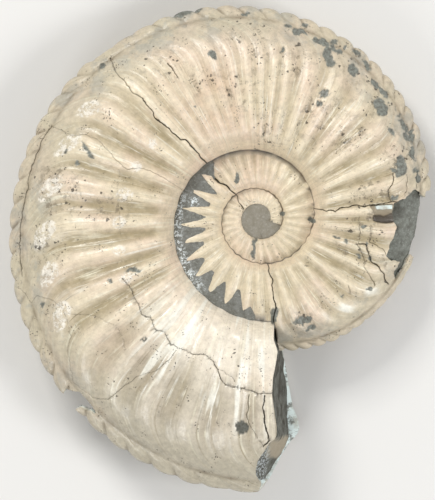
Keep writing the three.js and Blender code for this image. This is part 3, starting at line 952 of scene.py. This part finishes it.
# Colours
CREAM = (0.78, 0.68, 0.505, 1)
PINKISH = (0.79, 0.645, 0.50, 1)
PEARL = (0.87, 0.80, 0.68, 1)
# Tan of the outer valleys near the mouth, deepened in the valleys as painted shade
TAN = (0.40, 0.355, 0.27, 1)
DIRT = (0.20, 0.165, 0.115, 1)
GREY_FILM = (0.36, 0.37, 0.335, 1)
# Olive of the valleys, partly their tone and partly painted shade, and of the dull streaks
OLIVE = (0.36, 0.295, 0.175, 1)
CHALK = (0.93, 0.88, 0.78, 1)
# Pale streaks along the growth: paler shell with a painted sheen on it
STREAK = (0.90, 0.86, 0.69, 1)
# Painted highlight of the glints, the bars near the mouth and bright rib ends
PAINTED_HIGHLIGHT = (0.96, 0.95, 0.86, 1)
SCRATCH = (0.24, 0.185, 0.10, 1)
LEDGE = (0.33, 0.28, 0.20, 1)
# Painted shadow in the flaked recess's hollow
HOLLOW_SHADOW = (0.13, 0.11, 0.085, 1)
BELT = (0.40, 0.37, 0.27, 1)
STAIN = (0.55, 0.33, 0.14, 1)
# Brown of the seams, and of the painted shade in the keel's creases and groove
BROWN = (0.16, 0.115, 0.065, 1)
DARK = (0.035, 0.03, 0.022, 1)
STONE_GREY = (0.25, 0.265, 0.235, 1)
MATRIX_GREY = (0.22, 0.225, 0.21, 1)
FLOOR_PALE = (0.74, 0.735, 0.72, 1)
STONE_DARK = (0.13, 0.13, 0.11, 1)
STONE_PALE = (0.42, 0.43, 0.40, 1)
# Painted shade on stone: in the mouth, under the side break's edge, and on bare patches near the mouth
STONE_SHADE = (0.05, 0.046, 0.034, 1)
STONE_CHIP = (0.36, 0.31, 0.23, 1)
CRYSTAL = (0.74, 0.80, 0.82, 1)
NACRE = (0.78, 0.89, 0.87, 1)


# Cream crests, olive valleys partly tinted and partly painted shade, pearl towards the mouth, tan in its
# outer valleys
def ground_colour(n):
    valley, gloss, share = n.mask("valley"), n.mask("gloss"), n.mask("share")
    colour = n.mix(n.blots("pink"), CREAM, PINKISH)
    depth = n.ramp(n.math("ADD", valley, n.times(n.blots("waver"), valley)), 0.1, 0.8)
    colour = n.mix(n.times(depth, n.ramp(gloss, 0, 1, 0.9, 0.1)), colour, OLIVE)
    # The tan deepens in the valleys as painted shade
    tan = n.times(n.ramp(share, 0.3, 0.5), n.ramp(valley, 0.05, 0.4, 0.6, 1))
    return n.mix(n.times(gloss, COVER["pearl"]), colour, n.mix(tan, PEARL, TAN))


# Pale streaks along the growth, paler glossy shell with a painted sheen, dull streaks, and the grey film on
# the belt beside the keel
def add_streaks(n, colour, pale):
    belt = n.mask("belt")
    colour = n.mix(pale, colour, STREAK)
    # Darker towards the keel
    colour = n.mix(n.times(belt, COVER["belt"]), colour, BELT)
    film = n.times(belt, n.blots("film"), n.ramp(n.mask("gloss"), 0, 1, 1, 0.2))
    colour = n.mix(film, colour, GREY_FILM)
    return n.mix(n.streaks("dull"), colour, OLIVE)


# Thin painted glints, highlights in the colour, in places along the growth, fewer towards the keel
def glint_mask(n):
    levels = n.times(n.ramp(n.mask("gloss"), 0, 1, 0.55, 0.95), n.ramp(n.mask("share"), 0.6, 0.78, 1, 0.15))
    return n.times(n.streaks("glint"), n.blots("glint"), levels)


# Painted glints and highlights on bars and rib ends, dark scratches, and a thin line beside each rib near the
# mouth
def add_glints(n, colour, glint):
    gloss, share = n.mask("gloss"), n.mask("share")
    colour = n.mix(glint, colour, PAINTED_HIGHLIGHT)
    scratch = n.times(n.streaks("scratch"), n.blots("scratch"))
    colour = n.mix(n.times(scratch, COVER["scratch"]), colour, SCRATCH)
    highlight_bars = n.times(n.streaks("highlight_bars"), gloss, n.ramp(share, 0.55, 0.72, 1, 0))
    colour = n.mix(n.times(highlight_bars, COVER["highlight_bars"]), colour, PAINTED_HIGHLIGHT)
    colour = n.mix(n.times(n.mask("shining"), COVER["shining"]), colour, PAINTED_HIGHLIGHT)
    line = n.math("ABSOLUTE", n.math("SUBTRACT", n.math("FRACT", n.mask("growth")), 0.22))
    middle = n.times(n.ramp(share, 0.35, 0.5), n.ramp(share, 0.9, 0.8))
    edge = n.times(n.ramp(line, 0.03, 0), gloss, middle, n.blots("edge"))
    return n.mix(n.times(edge, COVER["edge"]), colour, SCRATCH)


def chalk_flakes(n):
    reach = n.math("ADD", n.mask("chalk"), n.noise(n.place(), 150, 3))
    return n.times(n.blots("flaky"), n.ramp(reach, 0.87, 1))


# Fine pores, thicker in some places
def pore_mask(n):
    crowd = n.math("ADD", n.times(n.mask("pitted"), 0.2), n.blots("crowd"))
    ruffled = n.ruffle(n.place(), 1000, 0.0012)
    pores = n.ramp(n.math("SUBTRACT", n.cells(ruffled, 800), crowd), 0.05, 0)
    small = n.times(n.ramp(n.cells(ruffled, 1700), 0.28, 0.2), n.blots("small_pores"))
    return n.math("MAXIMUM", n.times(pores, n.blots("pores")), small)


# White flakes, brown stains, and dirt in the valleys where the shell is pitted
def add_dirt(n, colour, chalk, pores):
    colour = n.mix(n.times(chalk, COVER["chalk"]), colour, CHALK)
    colour = n.mix(n.blots("stain"), colour, STAIN)
    dirt = n.times(n.mask("pitted"), n.blots("dirt"), n.ramp(n.mask("valley"), 0, 0.35, 0.35, 1))
    colour = n.mix(dirt, colour, DIRT)
    return n.mix(n.times(pores, COVER["pores"]), colour, DARK)


# Seams, painted shade in keel creases and groove, stone showing through, the flaked recess, broken edges and
# cracks
def add_damage(n, colour):
    seam = n.mix(n.blots("seam"), BROWN, DARK)
    colour = n.mix(n.times(n.mask("seam"), COVER["seam"]), colour, seam)
    # Painted shade in the creases between the keel's beads and in the groove at its base
    shaded_creases = n.math("MAXIMUM", n.mask("crease"), n.mask("groove"))
    colour = n.mix(n.times(shaded_creases, n.blots("crease_shade_noise")), colour, BROWN)
    mottle = n.blots("mottle")
    colour = n.mix(1.0, colour, n.join(mottle, mottle, mottle), "MULTIPLY")
    stone = n.mix(n.blots("bare_stone"), STONE_DARK, STONE_GREY)
    # Stone showing through near the mouth gets the painted shade of the stone in the mouth
    stone = n.mix(n.times(n.mask("gloss"), COVER["stone_shade"]), stone, STONE_SHADE)
    # The hollow's colour is a painted shadow
    for mask, under in (("patch", stone), ("flake", LEDGE), ("hollow", HOLLOW_SHADOW)):
        colour = n.mix(n.mask(mask), colour, under)
    pearl = n.mix(n.blots("dark_pearl"), n.mix(n.blots("dull_pearl"), NACRE, LEDGE), STONE_DARK)
    colour = n.mix(n.math("MAXIMUM", n.mask("rim"), n.mask("nacre")), colour, pearl)
    return n.mix(n.times(n.mask("crack"), COVER["crack"]), colour, DARK)


# Smoother towards the mouth and on its streaks, rougher on bare stone and chalk
def shell_roughness(n, shiny, chalk):
    rough = n.math("SUBTRACT", n.blots("roughness"), n.times(n.mask("gloss"), 0.08))
    rough = n.math("SUBTRACT", rough, n.times(shiny, 0.15))
    rough = n.math("ADD", rough, n.times(n.mask("patch"), 0.4))
    return n.math("ADD", rough, n.times(chalk, 0.3))


def shell_grain(n, pores, chalk):
    lines = n.noise(n.along_growth(16, 1.5, 0), 1.6, 3)
    grain = n.math("ADD", n.noise(n.place(), 700, 4), n.times(lines, 1.2))
    grain = n.math("SUBTRACT", grain, n.times(pores, 1.5))
    return n.math("ADD", grain, n.times(chalk, 0.5))


def shell_material():
    n = Nodes("fossil_shell")
    pale, glint, chalk, pores = n.streaks("pale"), glint_mask(n), chalk_flakes(n), pore_mask(n)
    colour = add_glints(n, add_streaks(n, ground_colour(n), pale), glint)
    n.look("Base Color", add_damage(n, add_dirt(n, colour, chalk, pores)))
    n.look("Roughness", shell_roughness(n, n.math("MAXIMUM", pale, glint), chalk))
    n.look("Coat Weight", 0.15)
    n.look("Specular IOR Level", 0.4)
    n.look("Coat Roughness", 0.1)
    n.bump(shell_grain(n, pores, chalk), 0.00012, 0.6)
    return n.material


def stone_material(name, grey):
    n = Nodes(name)
    colour = n.mix(n.blots("stone"), STONE_DARK, grey)
    colour = n.mix(n.blots("pale_grains"), colour, STONE_PALE)
    colour = n.mix(n.mask("shade"), colour, STONE_SHADE)
    colour = n.mix(n.mask("chip"), colour, STONE_CHIP)
    colour = n.mix(n.times(n.blots("needles"), n.mask("outer")), colour, CRYSTAL)
    n.look("Base Color", colour)
    n.look("Roughness", 0.85)
    n.bump(n.noise(n.place(), 1300, 4, 0.7), 0.0003, 0.9)
    return n.material


# A closed block from a function of three shares, as six grids with their shared edges joined
def block_mesh(place, counts):
    numbers = {}
    points = []
    faces = []

    def number(i, j, k):
        if (i, j, k) not in numbers:
            numbers[(i, j, k)] = len(points)
            points.append((i / counts[0], j / counts[1], k / counts[2]))
        return numbers[(i, j, k)]

    for axis in range(3):
        u_axis, v_axis = (axis + 1) % 3, (axis + 2) % 3
        for end in (0, counts[axis]):
            for u in range(counts[u_axis]):
                for v in range(counts[v_axis]):
                    corner = [0, 0, 0]
                    corner[axis] = end
                    face = []
                    for du, dv in ((0, 0), (1, 0), (1, 1), (0, 1)):
                        corner[u_axis], corner[v_axis] = u + du, v + dv
                        face.append(number(*corner))
                    faces.append(face if end else face[::-1])
    shares = np.array(points)
    return place(shares[:, 0], shares[:, 1], shares[:, 2]), faces


# The filling: where it starts, the shares it lies between, how far under the shell it stays, its unevenness
STONE_FROM = -38
STONE_LOW = 0.05
STONE_TIP = 0.915
STONE_INSET = 1.6
STONE_ROUGHNESS = 0.28
FILLING_GRID = (460, 44, 30)


# Along the coil, from the whorl inside it to the keel, and across from the hidden to the shown flank
def filling_place(along, up, across):
    share = STONE_LOW + (STONE_TIP - STONE_LOW) * up
    shown = read(MOUTH_SHOWN, share)
    hidden = read(STONE_HIDDEN, share)
    mouth = hidden + (shown - hidden) * across
    angle = STONE_FROM + (mouth - STONE_FROM) * along
    flank = np.minimum(smooth_flank(angle, share), flank_height(angle, share))
    half = np.maximum(flank - STONE_INSET, 0.3)
    points = np.column_stack([plan_of(angle, radius_at(angle, share)), half * (2 * across - 1)])
    shift = np.stack([rough_noise(points, 2.2, seed, 4) for seed in FILLING_SEEDS], axis=1)
    return points + STONE_ROUGHNESS * shift


# The stone in the mouth: its growth angles, a smooth brown chip, and pale crystals
MOUTH_STONE_ENDS = ((250, 262), (300, 310))
MOUTH_CHIP = [270, 440, 288, 437, 286, 447, 277, 459, 268, 456]
MOUTH_CRYSTALS = [254, 455, 262, 450, 268, 446, 269, 462, 262, 480, 256, 478]

# Painted shadows on the stone in the side break, under the shell's broken edge: places in pixels, with a
# radius
SIDE_SHADES = [(397, 210, 9), (396, 228, 6), (417, 195, 6), (399, 283, 8)]


def make_filling(material):
    points, faces = block_mesh(filling_place, FILLING_GRID)
    plan = points[:, :2]
    at_mouth = between(turn_of(points), *MOUTH_STONE_ENDS)
    pits = ease(-0.3, 0.5, rough_noise(points, 1.6, PIT_SEED))
    ragged = 0.5 * rough_noise(points, 1.8, CHIP_SEED)
    chip, crystals = (
        1 - ease(-0.3, 0.4, outline_distance(plan, on_coil(outline)) + ragged)
        for outline in (MOUTH_CHIP, MOUTH_CRYSTALS)
    )
    # Darker stone in the mouth: painted shade of the opening, darker still where pitted, and none on the chip
    shade = at_mouth * (0.45 + 0.5 * pits) * (1 - chip)
    shade = np.maximum(shade, 0.6 * spots_mask(plan, SIDE_SHADES, 0.2))
    masks = {"shade": shade, "chip": chip, "outer": 0.6 * crystals * at_mouth}
    return make_object("stone_fill", points, faces, material, masks)


# The crescent of matrix: its growth angles, the shares where its top meets the valleys and the crests, its
# thickness, how far it runs under them and past the seam, and where it has pale crystals
CRESCENT_FROM = -234
CRESCENT_TO = -91
CRESCENT_VALLEY = [
    [-234, 0.66], [-226, 0.52], [-210, 0.26], [-165, 0.28], [-143, 0.42], [-104, 0.42], [-91, 0.6],
]
CRESCENT_CREST = 0.62
CRESCENT_UNDER = 1.0
CRESCENT_LIP = 0.04
CRESCENT_OVER = 0.012
CRESCENT_GRID = (420, 36, 2)
CRYSTAL_SPOT = (194, 202)
CRYSTAL_ENDS = ((-206, -190), (-136, -122))
STONE_RISE = 0.07


# Its top climbs from the valley floors to the rib crests, so the ribs end in it as teeth
def crescent_place(along, out, up):
    angle = CRESCENT_FROM + (CRESCENT_TO - CRESCENT_FROM) * along
    valley = read(CRESCENT_VALLEY, angle)
    start = valley - CRESCENT_LIP
    share = start + (open_share(angle) + CRESCENT_OVER - start) * out
    rise = rib_rise(angle)
    level = rise * np.clip((share - valley) / (CRESCENT_CREST - valley), -0.6, 1.1) - 0.5 * rise
    ends = between(along, (0, 0.04), (0.97, 1))
    top = smooth_flank(angle, share) + level - 0.5 * (1 - ends)
    points = np.column_stack([plan_of(angle, radius_at(angle, share)), top - CRESCENT_UNDER * (1 - up)])
    points[:, 2] += STONE_RISE * rough_noise(points, 1.3, CRESCENT_SEED)
    return points


def make_crescent(material):
    points, faces = block_mesh(crescent_place, CRESCENT_GRID)
    radius = np.hypot(points[:, 0], points[:, 1])
    angle = turn_of(points) - WHORL
    outer = (radius - radius_at(angle, 0.0)) / (seam_radius(angle + WHORL) - seam_radius(angle))
    ends = between(angle, *CRYSTAL_ENDS)
    band = ease(0.78, 0.93, outer + 0.06 * noise(points, 2, CRYSTAL_SEED))
    spot = 1 - ease(0.6, 1.6, spot_distance(points[:, :2], *CRYSTAL_SPOT))
    masks = {"outer": np.maximum(band * ends, spot)}
    return make_object("umbilical_stone", points, faces, material, masks)


# The stone at the centre: the height of its top and of the dome on it, its thickness, how much lower its tip
# lies, and how far it runs under the seam
CENTRE_TOP = 1.15
CENTRE_DOME = 0.12
CENTRE_UNDER = 0.8
CENTRE_TIP_DROP = 0.5
CENTRE_OVER = 0.3
CENTRE_GRID = (120, 14)


# It fills the spiral hole inside the first whorl, and runs a little under its seam
def centre_place(around, out, up):
    angle = START_ANGLE + WHORL * around
    step = 1 - ease(0, 0.2, around)
    radius = (seam_radius(START_ANGLE + WHORL * np.maximum(around, step)) + CENTRE_OVER) * out
    tip = 1 - ease(0.08, 0.2, around)
    top = CENTRE_TOP + CENTRE_DOME * (1 - out**4) - CENTRE_TIP_DROP * tip * out
    points = np.column_stack([plan_of(angle, radius), top - CENTRE_UNDER * (1 - up)])
    points[:, 2] += STONE_RISE * rough_noise(points, 1.1, CENTRE_SEED)
    return points


# A closed disc from a function of three shares, with one point in the middle of each side
def disc_mesh(place, around, out):
    side = 1 + around * out

    def number(i, j, up):
        return up * side + (1 + (j - 1) * around + i % around if j else 0)

    faces = []
    for i in range(around):
        for up in (0, 1):
            ray = [[number(0, 0, up), number(i, 1, up), number(i + 1, 1, up)]]
            for j in range(1, out):
                corners = ((i, j), (i, j + 1), (i + 1, j + 1), (i + 1, j))
                ray.append([number(*corner, up) for corner in corners])
            faces += ray if up else [face[::-1] for face in ray]
        faces.append([number(i, out, 0), number(i + 1, out, 0), number(i + 1, out, 1), number(i, out, 1)])
    rings = [(0, 0)] + [(i / around, j / out) for j in range(1, out + 1) for i in range(around)]
    shares = np.array([(*ring, up) for up in (0, 1) for ring in rings])
    return place(shares[:, 0], shares[:, 1], shares[:, 2]), faces


def make_centre(material):
    points, faces = disc_mesh(centre_place, *CENTRE_GRID)
    return make_object("centre_stone", points, faces, material, {"chip": np.full(len(points), 0.4)})


FLOOR_HALF = 1.5


def make_floor():
    mesh = bpy.data.meshes.new("floor")
    corners = [(x * FLOOR_HALF, y * FLOOR_HALF, 0) for x, y in ((-1, -1), (1, -1), (1, 1), (-1, 1))]
    mesh.from_pydata(corners, [], [(0, 1, 2, 3)])
    n = Nodes("pale_floor")
    n.look("Base Color", FLOOR_PALE)
    n.look("Roughness", 0.8)
    mesh.materials.append(n.material)
    add_object("floor", mesh)


def aim(thing, at, target):
    thing.location = at
    thing.rotation_euler = (Vector(at) - Vector(target)).to_track_quat("Z", "Y").to_euler()


# Area lights, as place, power and colour. All are the same size, and shine at the fossil.
LIGHTS = {
    "key_light": ((-0.35, 0.65, 0.65), 5.6, (1, 0.985, 0.95)),
    "fill_light": ((0.7, -0.2, 0.6), 4.1, (1, 1, 1)),
    "low_light": ((-0.5, -0.7, 0.6), 2.7, (1, 1, 1)),
}
LIGHT_SIZE = 0.3
LIT_PLACE = (0, 0, 0.01)
SKY_STRENGTH = 0.42


def make_lights():
    for name, (at, power, colour) in LIGHTS.items():
        light = bpy.data.lights.new(name, "AREA")
        light.size = LIGHT_SIZE
        light.energy = power
        light.color = colour
        aim(add_object(name, light), at, LIT_PLACE)
    world = bpy.data.worlds.new("studio")
    world.use_nodes = True
    sky = world.node_tree.nodes["Background"]
    sky.inputs["Color"].default_value = (1, 1, 1, 1)
    sky.inputs["Strength"].default_value = SKY_STRENGTH
    bpy.context.scene.world = world
    bpy.context.scene.view_settings.view_transform = "Standard"


CAMERA_DISTANCE = 2.0


# The camera looks down the coil's axis, with the photo's frame at the height of the keel
def make_camera():
    camera = bpy.data.cameras.new("camera")
    tall = FRAME_PIXELS[1] * PIXEL * MM
    camera.lens = camera.sensor_width * CAMERA_DISTANCE / tall
    camera.clip_end = 10
    middle = on_coil([FRAME_PIXELS[0] / 2, FRAME_PIXELS[1] / 2])[0]
    eye = tilt @ Vector((middle[0], middle[1], CAMERA_DISTANCE / MM)) + Vector(COIL_AT)
    turn = tilt.to_4x4()
    turn.translation = eye * MM
    thing = add_object("camera", camera)
    thing.matrix_world = turn
    bpy.context.scene.camera = thing


make_camera()
make_lights()
make_floor()

grey_stone = stone_material("grey_limestone", STONE_GREY)
matrix_stone = stone_material("grey_matrix", MATRIX_GREY)
pieces = [
    (make_shell(shell_material()), "shell", "shell"),
    (make_filling(grey_stone), "stone_filling", "stone"),
    (make_crescent(matrix_stone), "umbilical_matrix", "matrix"),
    (make_centre(matrix_stone), "centre_matrix", "matrix"),
]
for piece, node, slot in pieces:
    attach(piece, "root")
    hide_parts(node)
